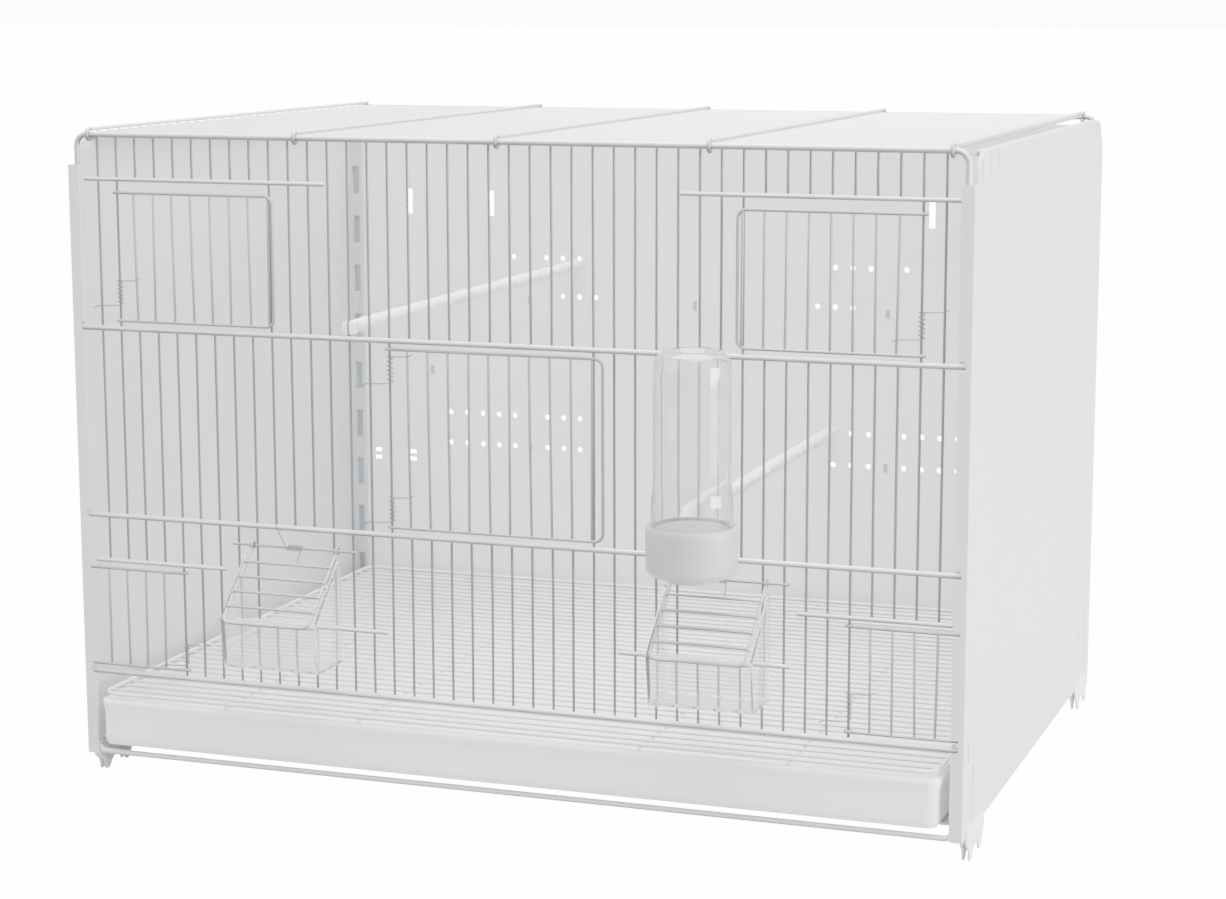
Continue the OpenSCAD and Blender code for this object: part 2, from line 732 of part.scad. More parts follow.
module drinker_cap() {
    color("white") {
        translate([x_drinker, y_drinker, 0])
            difference() {
                rotate_extrude($fn = 64)
                    polygon([[0, z_cap - 3], [cap_d * 0.3, z_cap - 3], [cap_d * 0.3, z_cap], [cap_d / 2 - 3, z_cap],
                        [cap_d / 2 - 0.5, z_cap + 3], [cap_d / 2, z_cap + cap_h - 2], [cap_d / 2 - 1, z_cap + cap_h],
                        [0, z_cap + cap_h]]);
                translate([0, 0, z_cap + cap_h - neck_in - seat])
                    cylinder(h = neck_in + 2, d = bottle_d + 2 + 2 * seat, $fn = 64);
            }
        // spout that reaches in between two bars, over the third rail
        difference() {
            rod_y(x_drinker, y_drinker + cap_d / 2 - 4, y_bar + 22, z_spout, spout_d);
            rod_y(x_drinker, y_bar + 4, y_bar + 23, z_spout + 3, spout_d - 4);
        }
    }
}

// ---------- perches ----------
fork_gap = 0.15;
z_perch_upper = z_second + rail_d / 2 + perch_d / 2 + 0.4;
z_perch_lower = z_third + rail_d / 2 + perch_d / 2 + 5;
perch_steps = 56;
perch_grip = 3;
// Radius at each step along the perch: one step in four is a groove
function perch_r(k) = perch_d / 2 - (k % 4 == 0 ? perch_bump : 0);
module perch(i, z) {
    y0 = y_bar + perch_grip;
    step = (y_rear - panel_t - tab_t - seat - y0) / perch_steps;
    color("white")
        translate([bar_x(i), 0, z]) {
            translate([0, y0, 0])
                rotate([-90, 0, 0])
                    rotate_extrude($fn = 40)
                        polygon(concat([[0, 0]],
                            [for (k = [0:perch_steps]) [perch_r(k), k * step]],
                            [[0, perch_steps * step]]));
            // fork that straddles one bar
            difference() {
                rod_y(0, y_bar - perch_grip, y0 + 0.5, 0, perch_d);
                translate([-bar_d / 2 - fork_gap, y_bar - perch_grip - 1, -perch_d])
                    cube([bar_d + 2 * fork_gap, perch_grip + 1 + bar_d / 2 + fork_gap, 2 * perch_d]);
            }
        }
}
module perch_upper() { perch(14, z_perch_upper); }
module perch_lower() { perch(flip(14), z_perch_lower); }

side_panel_left();
side_panel_right();
back_panel();
top_front_rail();
top_rear_rail();
front_rails();
front_bars();
partial_rails();
flap_pivots();
bottom_front_wire();
bottom_rear_wire();
foot_front_left();
foot_front_right();
foot_rear_left();
foot_rear_right();
roof_wires();
roof_cross_wires();
floor_frame();
floor_wires();
tray();
door_upper_left();
door_upper_right();
door_centre();
door_lower_left();
door_lower_right();
spring_upper_left();
spring_upper_right();
spring_centre_top();
spring_centre_low();
spring_lower_left();
spring_lower_right();
flap_left();
flap_right();
flap_spring_left();
flap_spring_right();
feeder_left();
feeder_right();
bottle();
drinker_cap();
perch_upper();
perch_lower();
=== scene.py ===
import json
import math
import random
import bpy
import bmesh
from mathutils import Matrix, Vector


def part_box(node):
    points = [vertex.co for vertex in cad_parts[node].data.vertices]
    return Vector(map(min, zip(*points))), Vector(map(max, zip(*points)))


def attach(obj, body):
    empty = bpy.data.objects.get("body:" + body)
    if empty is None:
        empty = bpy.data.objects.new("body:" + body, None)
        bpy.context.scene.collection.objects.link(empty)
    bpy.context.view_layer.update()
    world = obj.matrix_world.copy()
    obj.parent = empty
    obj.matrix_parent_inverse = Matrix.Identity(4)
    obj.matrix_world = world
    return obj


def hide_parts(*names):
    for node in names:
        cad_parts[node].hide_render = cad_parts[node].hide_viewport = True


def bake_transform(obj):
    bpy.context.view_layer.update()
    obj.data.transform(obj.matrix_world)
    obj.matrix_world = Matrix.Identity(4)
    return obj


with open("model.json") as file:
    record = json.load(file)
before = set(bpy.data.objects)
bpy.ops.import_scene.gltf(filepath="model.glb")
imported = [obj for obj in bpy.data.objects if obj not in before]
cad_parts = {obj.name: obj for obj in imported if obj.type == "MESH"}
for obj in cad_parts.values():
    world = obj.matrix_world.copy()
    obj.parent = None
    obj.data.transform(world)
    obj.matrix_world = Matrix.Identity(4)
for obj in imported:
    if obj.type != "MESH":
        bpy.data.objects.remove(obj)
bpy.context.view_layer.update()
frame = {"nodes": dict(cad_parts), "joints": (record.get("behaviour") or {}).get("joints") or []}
hinges = {joint["name"]: joint for joint in frame["joints"]}
print("frame loaded, nodes:", len(frame["nodes"]))

# diameters of the wires, in metres
wire = {
    "bar": 0.0016,
    "rail": 0.0032,
    "top": 0.0036,
    "part": 0.0026,
    "door": 0.0019,
    "roof": 0.0018,
    "cross": 0.0024,
    "spring": 0.0007,
    "sides": 14,
}


class Tone:
    # wraps one output socket, so that plain expressions add Math nodes
    def __init__(self, maker, socket):
        self.maker = maker
        self.socket = socket

    def maths(self, operation, first, second):
        return self.maker.node("ShaderNodeMath", {"operation": operation}, {0: first, 1: second})

    def __add__(self, other):
        return self.maths("ADD", self, other)

    def __radd__(self, other):
        return self.maths("ADD", other, self)

    def __sub__(self, other):
        return self.maths("SUBTRACT", self, other)

    def __rsub__(self, other):
        return self.maths("SUBTRACT", other, self)

    def __mul__(self, other):
        return self.maths("MULTIPLY", self, other)

    def __rmul__(self, other):
        return self.maths("MULTIPLY", other, self)


class NodeMaker:
    # adds nodes to the tree of a material or of the sky
    def __init__(self, tree):
        self.tree = tree

    def node(self, kind, settings=None, sockets=None, output=0):
        made = self.tree.nodes.new(kind)
        for key, value in (settings or {}).items():
            if key == "stops":
                ramp = made.color_ramp
                while len(ramp.elements) < len(value):
                    ramp.elements.new(0.5)
                for element, (place, colour) in zip(ramp.elements, value):
                    element.position = place
                    element.color = colour
            else:
                setattr(made, key, value)
        for key, value in (sockets or {}).items():
            if isinstance(value, Tone):
                self.tree.links.new(value.socket, made.inputs[key])
            else:
                made.inputs[key].default_value = value
        return Tone(self, made.outputs[output])

    def whiteWhenSeen(self, lit, white, output):
        # white where it is looked at directly, and the lit shader for every other ray
        look = self.node("ShaderNodeLightPath", output="Is Camera Ray")
        lit = Tone(self, lit.outputs[0])
        both = self.node("ShaderNodeMixShader", sockets={0: look, 1: lit, 2: white})
        self.tree.links.new(both.socket, self.tree.nodes[output].inputs["Surface"])


class Finish(NodeMaker):
    # one material with its Principled shader
    def __init__(self, name, **settings):
        self.material = bpy.data.materials.new(name)
        self.material.use_nodes = True
        super().__init__(self.material.node_tree)
        self.shader = self.tree.nodes["Principled BSDF"]
        for socket, value in settings.items():
            self.shader.inputs[socket.replace("_", " ")].default_value = value

    def feed(self, socket, value):
        self.tree.links.new(value.socket, self.shader.inputs[socket])

    def noise(self, scale, detail=3.0, stretch=(1, 1, 1), rough=0.5):
        place = self.node("ShaderNodeTexCoord", output="Object")
        place = self.node("ShaderNodeMapping", sockets={"Vector": place, "Scale": stretch})
        return self.node("ShaderNodeTexNoise", sockets={
            "Vector": place, "Scale": scale, "Detail": detail, "Roughness": rough})

    def between(self, amount, low, high):
        return self.node("ShaderNodeMix", {"data_type": "RGBA"}, {0: amount, 6: low, 7: high}, 2)

    def within(self, value, low, high):
        # 0 below the low value, 1 above the high one
        return self.node("ShaderNodeMapRange", {"clamp": True}, {
            "Value": value, "From Min": low, "From Max": high, "To Min": 0.0, "To Max": 1.0})

    def bump(self, height, strength, distance):
        self.feed("Normal", self.node("ShaderNodeBump", sockets={
            "Height": height, "Strength": strength, "Distance": distance}))


def tint(red, green, blue):
    return (red, green, blue, 1.0)


# white powder coat over steel wire: slight orange peel, thinner and greyer here and there; the dark tone
# is mostly painted shade under the wire
coat = {
    "light": tint(0.66, 0.67, 0.68),
    "dark": tint(0.085, 0.09, 0.10),
    "peelScale": 900,
    "patchScale": 55,
    "speckScale": 2400,
    "peelDepth": 0.00006,
}


def powderCoat(name, light, dark, metal=0.3):
    # painted shade: darker where the surface faces down and lighter where it faces up, with worn patches
    # and specks adding some of the dark tone
    paint = Finish(name, Metallic=metal, Coat_Weight=0.3, Coat_Roughness=0.2, Specular_IOR_Level=0.5)
    patch = paint.noise(coat["patchScale"], 4)
    peel = paint.noise(coat["peelScale"], 2)
    speck = paint.within(paint.noise(coat["speckScale"], 1), 0.68, 0.76)
    facing = paint.node("ShaderNodeTexCoord", output="Normal")
    upward = paint.node("ShaderNodeSeparateXYZ", sockets={0: facing}, output="Z")
    paintedUnderShade = 1 - paint.within(upward, -0.4, 0.35)
    worn = paint.within(patch, 0.35, 0.75)
    paint.feed("Base Color", paint.between(0.85 * paintedUnderShade + 0.10 * worn + 0.05 * speck, light, dark))
    paint.feed("Roughness", 0.24 + 0.16 * patch + 0.05 * peel)
    paint.bump(peel + 0.6 * patch, 0.35, coat["peelDepth"])
    return paint.material


# moulded sheet plastic: faint flow streaks, satin skin and hair scratches
sheet = {
    "light": tint(0.58, 0.59, 0.60),
    "shade": tint(0.51, 0.52, 0.53),
    "grainScale": 1600,
    "streakScale": 9,
    "scratchScale": 70,
    "dustScale": 38,
    "grainDepth": 0.00005,
}


def mouldedPlastic(name, light, shade, gloss=0.34, soft=0.12):
    paint = Finish(name, Subsurface_Weight=soft, Subsurface_Scale=0.004, Specular_IOR_Level=0.45)
    paint.shader.inputs["Subsurface Radius"].default_value = (1.0, 0.9, 0.8)
    flow = paint.noise(sheet["streakScale"], 5, (1, 1, 0.25), 0.6)
    grain = paint.noise(sheet["grainScale"], 2)
    scratch = paint.within(paint.noise(sheet["scratchScale"], 2, (14, 14, 0.5)), 0.62, 0.70)
    dust = paint.within(paint.noise(sheet["dustScale"], 6), 0.52, 0.78)
    paint.feed("Base Color", paint.between(0.65 * flow + 0.25 * dust, light, shade))
    paint.feed("Roughness", gloss + 0.10 * grain + 0.10 * dust + 0.08 * scratch)
    paint.bump(grain * 0.5 + flow * 1.2 - scratch * 0.7, 0.22, sheet["grainDepth"])
    return paint.material


# clear plastic: how much it bends light, its wavy wall and its smears
clear = {
    "shade": tint(0.86, 0.89, 0.905),
    "feeder": 1.30,
    "bottle": 1.42,
    "waveScale": 24,
    "smearScale": 75,
    "waveDepth": 0.0004,
}


def clearPlastic(name, colour, bend):
    paint = Finish(name, Transmission_Weight=0.94, IOR=bend, Specular_IOR_Level=0.6,
                   Coat_Weight=0.35, Coat_Roughness=0.04)
    wave = paint.noise(clear["waveScale"], 3, (1, 1, 0.5))
    smear = paint.within(paint.noise(clear["smearScale"], 5), 0.5, 0.8)
    paint.feed("Base Color", paint.between(wave * 0.6 + smear * 0.3, colour, clear["shade"]))
    paint.feed("Roughness", 0.02 + 0.07 * smear)
    paint.bump(wave + 0.15 * smear, 0.25, clear["waveDepth"])
    return paint.material


# bare spring steel with fine drawing marks and dull patches
steel = {
    "light": tint(0.22, 0.225, 0.23),
    "dark": tint(0.13, 0.135, 0.14),
    "drawnScale": 500,
    "dullScale": 120,
}


def springWire(name):
    paint = Finish(name, Metallic=0.6, Specular_IOR_Level=0.5)
    drawn = paint.noise(steel["drawnScale"], 3, (1, 1, 6))
    dull = paint.noise(steel["dullScale"], 4)
    paint.feed("Base Color", paint.between(dull, steel["light"], steel["dark"]))
    paint.feed("Roughness", 0.26 + 0.2 * dull + 0.1 * drawn)
    paint.bump(drawn, 0.2, 0.00003)
    return paint.material


finishes = {
    # painted light: all the wires are one white coat, given in lit and shaded copies; the bar coat is
    # painted darkest, the door coat darker than the rail coat, and the roof coat lighter
    "rail": powderCoat("railCoat", coat["light"], coat["dark"]),
    "bar": powderCoat("barCoat", tint(0.155, 0.165, 0.175), tint(0.11, 0.12, 0.13)),
    "door": powderCoat("doorCoat", tint(0.36, 0.375, 0.385), tint(0.07, 0.075, 0.085)),
    "roof": powderCoat("roofCoat", tint(0.76, 0.77, 0.78), tint(0.40, 0.41, 0.42), 0.1),
    "panel": mouldedPlastic("panelPlastic", sheet["light"], sheet["shade"]),
    "back": mouldedPlastic("backPlastic", tint(0.84, 0.85, 0.855), tint(0.78, 0.795, 0.80)),
    "tray": mouldedPlastic("trayPlastic", tint(0.80, 0.81, 0.82), tint(0.75, 0.765, 0.775), 0.26, 0.2),
    "foot": mouldedPlastic("footPlastic", tint(0.80, 0.81, 0.79), tint(0.72, 0.735, 0.72), 0.3, 0.6),
    # painted shade: the white drinker cap is given a dark grey tone
    "cap": mouldedPlastic("capPlastic", tint(0.36, 0.365, 0.365), tint(0.31, 0.315, 0.315), 0.3, 0.0),
    # painted shade: the dark grey of the plates in the recesses, notches and back tabs
    "shade": mouldedPlastic("recessPlastic", tint(0.40, 0.42, 0.43), tint(0.33, 0.35, 0.36)),
    "perch": mouldedPlastic("perchPlastic", tint(0.80, 0.81, 0.82), tint(0.70, 0.715, 0.725),
                            0.36, 0.25),
    "clear": clearPlastic("clearPlastic", tint(0.97, 0.98, 0.985), clear["feeder"]),
    "bottle": clearPlastic("bottlePlastic", tint(0.91, 0.925, 0.935), clear["bottle"]),
    "spring": springWire("springWire"),
}
print("materials made:", len(finishes))


class Shell:
    # gathers closed surfaces, then becomes one object
    def __init__(self):
        self.points = []
        self.faces = []

    def ring(self, spots):
        start = len(self.points)
        self.points += [tuple(spot) for spot in spots]
        return list(range(start, start + len(spots)))

    def join(self, first, second):
        count = len(first)
        for k in range(count):
            n = (k + 1) % count
            self.faces.append((first[k], first[n], second[n], second[k]))

    def skin(self, rings, closed=False):
        # rings of equal length, joined in turn and capped unless they close on themselves
        made = [self.ring(ring) for ring in rings]
        for first, second in zip(made, made[1:]):
            self.join(first, second)
        if closed:
            self.join(made[-1], made[0])
        else:
            self.faces.append(tuple(reversed(made[0])))
            self.faces.append(tuple(made[-1]))

    def tube(self, path, width, sides=None, closed=False, dome=0.55):
        # round wire along a path, with softly rounded ends
        sides = sides or wire["sides"]
        radius = width / 2
        path = [Vector(spot) for spot in path]
        count = len(path)
        ways = []
        for k in range(count):
            before = path[(k - 1) % count] if closed or k else path[0]
            after = path[(k + 1) % count] if closed or k < count - 1 else path[-1]
            ways.append((after - before).normalized())
        side = ways[0].orthogonal().normalized()
        rings = []
        for k in range(count):
            if k:
                side = ways[k - 1].rotation_difference(ways[k]) @ side
            side = (side - ways[k] * side.dot(ways[k])).normalized()
            up = ways[k].cross(side)
            rings.append((path[k], side, up, radius))
        if not closed:
            depth = dome * radius
            spot, side, up, _ = rings[0]
            first = [(spot + ways[0] * depth * (1 - math.sin(a)), side, up, radius * math.cos(a))
                     for a in (1.25, 0.8, 0.35)]
            rings[0] = (spot + ways[0] * depth, side, up, radius)
            spot, side, up, _ = rings[-1]
            last = [(spot - ways[-1] * depth * (1 - math.sin(a)), side, up, radius * math.cos(a))
                    for a in (0.35, 0.8, 1.25)]
            rings[-1] = (spot - ways[-1] * depth, side, up, radius)
            rings = first + rings + last
        turn = 2 * math.pi / sides
        self.skin([[spot + (side * math.cos(k * turn) + up * math.sin(k * turn)) * r
                    for k in range(sides)] for spot, side, up, r in rings], closed)

    def bead(self, centre, size, across=10, along=6):
        # flattened ball, such as the swelling of a weld under the coat
        rings = []
        for j in range(along + 1):
            high = -math.pi / 2 * 0.93 + math.pi * 0.93 * j / along
            rings.append([(centre[0] + size[0] * math.cos(high) * math.cos(2 * math.pi * k / across),
                           centre[1] + size[1] * math.cos(high) * math.sin(2 * math.pi * k / across),
                           centre[2] + size[2] * math.sin(high)) for k in range(across)])
        self.skin(rings)

    def piece(self, name, body, finish, replaced=(), crease=40):
        mesh = bpy.data.meshes.new(name)
        mesh.from_pydata(self.points, [], self.faces)
        return placed(mesh, name, body, finish, replaced, crease)


def placed(mesh, name, body, finish, replaced=(), crease=40):
    tidy = bmesh.new()
    tidy.from_mesh(mesh)
    bmesh.ops.recalc_face_normals(tidy, faces=tidy.faces)
    tidy.to_mesh(mesh)
    tidy.free()
    mesh.materials.clear()
    mesh.materials.append(finishes[finish])
    if crease:
        mesh.shade_smooth()
        mesh.set_sharp_from_angle(angle=math.radians(crease))
    made = bpy.data.objects.new(name, mesh)
    bpy.context.scene.collection.objects.link(made)
    if body:
        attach(made, body)
    if replaced:
        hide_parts(*replaced)
    return made


def arc(centre, radius, first, last, plane, steps=8):
    # points round a centre from one angle to another, in degrees, in the plane of two axes
    points = []
    for k in range(steps + 1):
        angle = math.radians(first + (last - first) * k / steps)
        spot = list(centre)
        spot[plane[0]] += radius * math.cos(angle)
        spot[plane[1]] += radius * math.sin(angle)
        points.append(tuple(spot))
    return points


def bent(corners, radius, steps=7, closed=False):
    # a line through corners, each rounded to the radius
    corners = [Vector(spot) for spot in corners]
    count = len(corners)
    points = []
    for k in range(count):
        if not closed and k in (0, count - 1):
            points.append(corners[k])
            continue
        before, here, after = corners[k - 1], corners[k], corners[(k + 1) % count]
        back, ahead = (before - here).normalized(), (after - here).normalized()
        half = back.angle(ahead) / 2
        reach = min(radius / math.tan(half), (before - here).length * 0.49, (after - here).length * 0.49)
        middle = here + (back + ahead).normalized() * (reach / math.cos(half))
        start, end = here + back * reach - middle, here + ahead * reach - middle
        for j in range(steps + 1):
            points.append(middle + start.lerp(end, j / steps).normalized() * start.length)
    return points


def wiresOf(node):
    # the two ends of each separate straight wire of a CAD node
    shape = bmesh.new()
    shape.from_mesh(frame["nodes"][node].data)
    bmesh.ops.remove_doubles(shape, verts=shape.verts, dist=1e-6)
    left = set(shape.verts)
    ends = []
    while left:
        found = [left.pop()]
        for vert in found:
            for edge in vert.link_edges:
                other = edge.other_vert(vert)
                if other in left:
                    left.remove(other)
                    found.append(other)
        low = Vector([min(v.co[k] for v in found) for k in range(3)])
        high = Vector([max(v.co[k] for v in found) for k in range(3)])
        along = max(range(3), key=lambda k: high[k] - low[k])
        start, end = (low + high) / 2, (low + high) / 2
        start[along], end[along] = low[along], high[along]
        ends.append((start, end))
    shape.free()
    return sorted(ends, key=lambda pair: tuple(pair[0]))


def softened(node, name, body, finish, width, segments=2, flatArea=0.0001):
    # a CAD node's own shape with its hard edges rounded off, large faces flat and small ones smooth
    shape = bmesh.new()
    shape.from_mesh(frame["nodes"][node].data)
    bmesh.ops.remove_doubles(shape, verts=shape.verts, dist=2e-6)
    bmesh.ops.dissolve_limit(shape, angle_limit=math.radians(0.5), verts=shape.verts, edges=shape.edges)
    hard = [edge for edge in shape.edges
            if len(edge.link_faces) == 2 and edge.calc_face_angle(0) > math.radians(35)]
    for face in shape.faces:
        face.smooth = face.calc_area() < flatArea
    rounded = bmesh.ops.bevel(shape, geom=hard, offset=width, segments=segments, profile=0.5,
                              affect="EDGES", clamp_overlap=True, loop_slide=True)
    for face in rounded["faces"]:
        face.smooth = True
    bmesh.ops.triangulate(shape, faces=[face for face in shape.faces if len(face.verts) > 4])
    mesh = bpy.data.meshes.new(name)
    shape.to_mesh(mesh)
    shape.free()
    return placed(mesh, name, body, finish, (node,), 0)


# front bars, rails and their welds
welds = {"width": 1.18, "depth": 0.42, "tall": 0.36, "bow": 0.00022, "seed": 7}

bars = wiresOf("front_bars")
rails = wiresOf("front_rails")
partial = wiresOf("partial_rails")
pivots = wiresOf("flap_pivots")
hingeLines = [joint["pos_m"][0] for joint in frame["joints"] if joint["name"].startswith("door")]
chance = random.Random(welds["seed"])

frontBars = Shell()
bowOf = {}
for low, high in bars:
    place = round(low.x, 4)
    if place not in bowOf:
        bowOf[place] = 0 if any(abs(low.x - x) < 0.002 for x in hingeLines) else chance.uniform(-1, 1)
    steps = max(2, int((high.z - low.z) / 0.03))
    path = []
    for k in range(steps + 1):
        z = low.z + (high.z - low.z) * k / steps
        lean = bowOf[place] * welds["bow"] * math.sin(math.pi * k / steps) ** 2
        path.append((low.x + lean, low.y, z))
    frontBars.tube(path, wire["bar"], 12)
frontBars.piece("frontBars", "cage", "bar", ("front_bars",))

frontRails = Shell()
for start, end in rails:
    frontRails.tube([start, start.lerp(end, 0.5), end], wire["rail"], 18)
frontRails.piece("frontRails", "cage", "rail", ("front_rails",))

partialRails = Shell()
for start, end in partial:
    partialRails.tube([start, end], wire["part"], 16, dome=0.9)
partialRails.piece("partialRails", "cage", "rail", ("partial_rails",))

flapPivots = Shell()
for start, end in pivots:
    flapPivots.tube([start, end], wire["bar"], 14, dome=0.9)
flapPivots.piece("flapPivots", "cage", "door", ("flap_pivots",))

frontWelds = Shell()
crossing = [(pair, wire["rail"]) for pair in rails] + [(pair, wire["part"]) for pair in partial]
crossing += [(pair, wire["bar"]) for pair in pivots]
topLow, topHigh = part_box("top_front_rail")
topY, topZ = topLow.y + wire["top"] / 2, topHigh.z - wire["top"] / 2
topLine = (Vector((topLow.x + 0.008, topY, topZ)), Vector((topHigh.x - 0.008, topY, topZ)))
crossing.append((topLine, wire["top"]))
for (start, end), thick in crossing:
    for low, high in bars:
        if start.x < low.x < end.x and low.z - 0.002 < start.z < high.z + 0.002:
            middle = (low.x, low.y - wire["bar"] / 2, start.z)
            size = wire["bar"] * welds["width"] * chance.uniform(0.52, 0.62)
            tall = thick * welds["tall"] * chance.uniform(0.9, 1.1)
            frontWelds.bead(middle, (size, wire["bar"] * welds["depth"], tall))
frontWelds.piece("frontWelds", "cage", "door")
print("front grille:", len(bars), "bars,", len(rails) + len(partial), "rails")


# top rails and bottom wires
ends = {"bend": 0.007, "steps": 10}


def endBent(name, node, upright, finish="rail"):
    # a thick wire across the cage whose ends turn up or down beside the panels
    low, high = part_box(node)
    r = wire["top"] / 2
    y = (low.y + high.y) / 2
    edge, far = (low.z + r, high.z) if upright else (high.z - r, low.z)
    path = bent([(low.x + r, y, far), (low.x + r, y, edge), (high.x - r, y, edge),
                 (high.x - r, y, far)], ends["bend"], ends["steps"])
    shape = Shell()
    shape.tube(path, wire["top"], 20)
    shape.piece(name, "cage", finish, (node,))


endBent("topFrontRail", "top_front_rail", False)
endBent("topRearRail", "top_rear_rail", False, "door")
endBent("bottomFrontWire", "bottom_front_wire", True, "roof")
endBent("bottomRearWire", "bottom_rear_wire", True, "roof")


# roof
roof = {"hookTurn": 250, "hookSteps": 22}

roofWires = Shell()
for start, end in wiresOf("roof_wires"):
    roofWires.tube([start, start.lerp(end, 0.5), end], wire["roof"], 10)
roofWires.piece("roofWires", "cage", "roof", ("roof_wires",))

roofCross = Shell()
roofHooks = Shell()
frontY, rearY = (sum(corner.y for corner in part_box(node)) / 2
                 for node in ("top_front_rail", "top_rear_rail"))
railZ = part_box("top_front_rail")[1].z - wire["top"] / 2
hook = wire["top"] / 2 + wire["cross"] / 2 + 0.00005
for start, end in wiresOf("roof_cross_wires"):
    x = (start.x + end.x) / 2
    front = arc((x, frontY, railZ), hook, 90 + roof["hookTurn"], 90, (1, 2), roof["hookSteps"])
    rear = arc((x, rearY, railZ), hook, 90, 90 - roof["hookTurn"], (1, 2), roof["hookSteps"])
    middle = [(x, frontY + (rearY - frontY) * k / 6, railZ + hook) for k in range(7)]
    roofCross.tube(middle, wire["cross"] - 0.00004, 14)
    for turn, ahead in ((front, 0.003), (rear[::-1], -0.003)):
        roofHooks.tube(turn + [(x, turn[-1][1] + ahead, railZ + hook)], wire["cross"], 14, dome=0.9)
roofCross.piece("roofCrossWires", "cage", "roof", ("roof_cross_wires",))
roofHooks.piece("roofHooks", "cage", "door")
print("roof made")


# floor grille
grille = {"corner": 0.009}

floorLow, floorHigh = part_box("floor_frame")
r = wire["cross"] / 2
z = (floorLow.z + floorHigh.z) / 2
floorFrame = Shell()
floorFrame.tube(bent([(floorLow.x + r, floorLow.y + r, z), (floorHigh.x - r, floorLow.y + r, z),
                      (floorHigh.x - r, floorHigh.y - r, z), (floorLow.x + r, floorHigh.y - r, z)],
                     grille["corner"], 8, True), wire["cross"], 14, True)
floorFrame.piece("floorFrame", "floor_grille", "roof", ("floor_frame",))
floorWires = Shell()
for start, end in wiresOf("floor_wires"):
    floorWires.tube([start, start.lerp(end, 0.5), end], wire["roof"], 10)
floorWires.piece("floorWires", "floor_grille", "roof", ("floor_wires",))
print("floor grille made")


# doors
door = {
    "corner": 0.005,
    "lean": 0.0007,
    "hookTurn": 300,
    "loop": 0.00198,
    "armStart": 0.004,
    "pitch": 0.0126,
    "freeBars": 4,
}


def hookRound(x, y, z, side, turn):
    # the end of an arm bent round an upright bar, from behind it to the front
    start = -90 - side * turn
    points = arc((x, y, z), door["loop"], start, -90, (0, 1), 18)
    return [(px, py, z + 0.0003 * (k - 18) / 18) for k, (px, py, _) in enumerate(points)]


def doorPiece(name, node, joint, free):
    # one bent wire from hinge loop to hinge loop, or two straight arms, with bars between
    x, barY, _ = hinges[joint]["pos_m"]
    low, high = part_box(node)
    r = wire["door"] / 2
    armY = low.y + r
    lowZ, highZ = low.z + r, high.z - r
    side = 1 if high.x - x > x - low.x else -1
    farX = high.x - r if side > 0 else low.x + r
    armX = x + side * door["armStart"]
    shape = Shell()
    lower = hookRound(x, barY, lowZ, side, door["hookTurn"])
    upper = hookRound(x, barY, highZ, side, door["hookTurn"])
    if free:
        tip = high.x if side > 0 else low.x
        for path, z in ((lower, lowZ), (upper, highZ)):
            shape.tube(path + [(armX, armY, z), (tip, armY, z)], wire["door"], 14, dome=0.9)
    else:
        around = bent([(armX, armY, lowZ), (farX, armY, lowZ), (farX, armY, highZ),
                       (armX, armY, highZ)], door["corner"], 9)
        shape.tube(lower + around + upper[::-1], wire["door"], 14, dome=0.9)
    count = door["freeBars"] if free else round(abs(farX - x) / door["pitch"] - 0.3)
    for place in [x + side * door["pitch"] * k for k in range(1, count + 1)]:
        lean = chance.uniform(-1, 1) * door["lean"]
        shape.tube([(place - lean, armY, lowZ), (place, armY, (lowZ + highZ) / 2),
                    (place + lean * 0.6, armY, highZ)], wire["bar"], 12)
    shape.piece(name, node, "door", (node,))


for name, node, free in (("doorUpperLeft", "door_upper_left", False),
                         ("doorUpperRight", "door_upper_right", False),
                         ("doorCentre", "door_centre", False),
                         ("doorLowerLeft", "door_lower_left", True),
                         ("doorLowerRight", "door_lower_right", True)):
    doorPiece(name, node, node + "_hinge", free)
print("doors made")


# door springs
spring = {
    "turns": 6,
    "coil": 0.0016,
    "leg": 0.0126,
    "legStart": 0.0025,
    "legBend": 0.0012,
    "tip": 0.0035,
    "margin": 0.00235,
    "perTurn": 18,
}


def doorSpring(name, node, joint):
    # a coil round the hinge bar, one leg on the front bars and one on the door
    x, barY, _ = hinges[joint]["pos_m"]
    low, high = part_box(node)
    lowZ, highZ = low.z + spring["margin"], high.z - spring["margin"]
    legY = low.y + wire["spring"] / 2
    count = spring["turns"] * spring["perTurn"]
    coil = []
    for k in range(count + 1):
        angle = -math.pi / 2 + 2 * math.pi * spring["turns"] * k / count
        coil.append((x + spring["coil"] * math.cos(angle), barY + spring["coil"] * math.sin(angle),
                     lowZ + (highZ - lowZ) * k / count))
    lowLeg = bent([coil[0], (x - spring["legStart"], legY, lowZ),
                   (x - spring["leg"] - 0.0006, legY, lowZ - 0.0004),
                   (x - spring["leg"] - spring["tip"], legY, lowZ - 0.002)], spring["legBend"], 4)
    highLeg = bent([coil[-1], (x + spring["legStart"], legY, highZ),
                    (x + spring["leg"] + 0.0006, legY, highZ + 0.0004),
                    (x + spring["leg"] + spring["tip"], legY, highZ + 0.002)], spring["legBend"], 4)
    shape = Shell()
    shape.tube(lowLeg[::-1][:-1] + coil + highLeg[1:], wire["spring"], 8)
    made = shape.piece(name, None, "spring", (node,), 60)
    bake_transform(made)


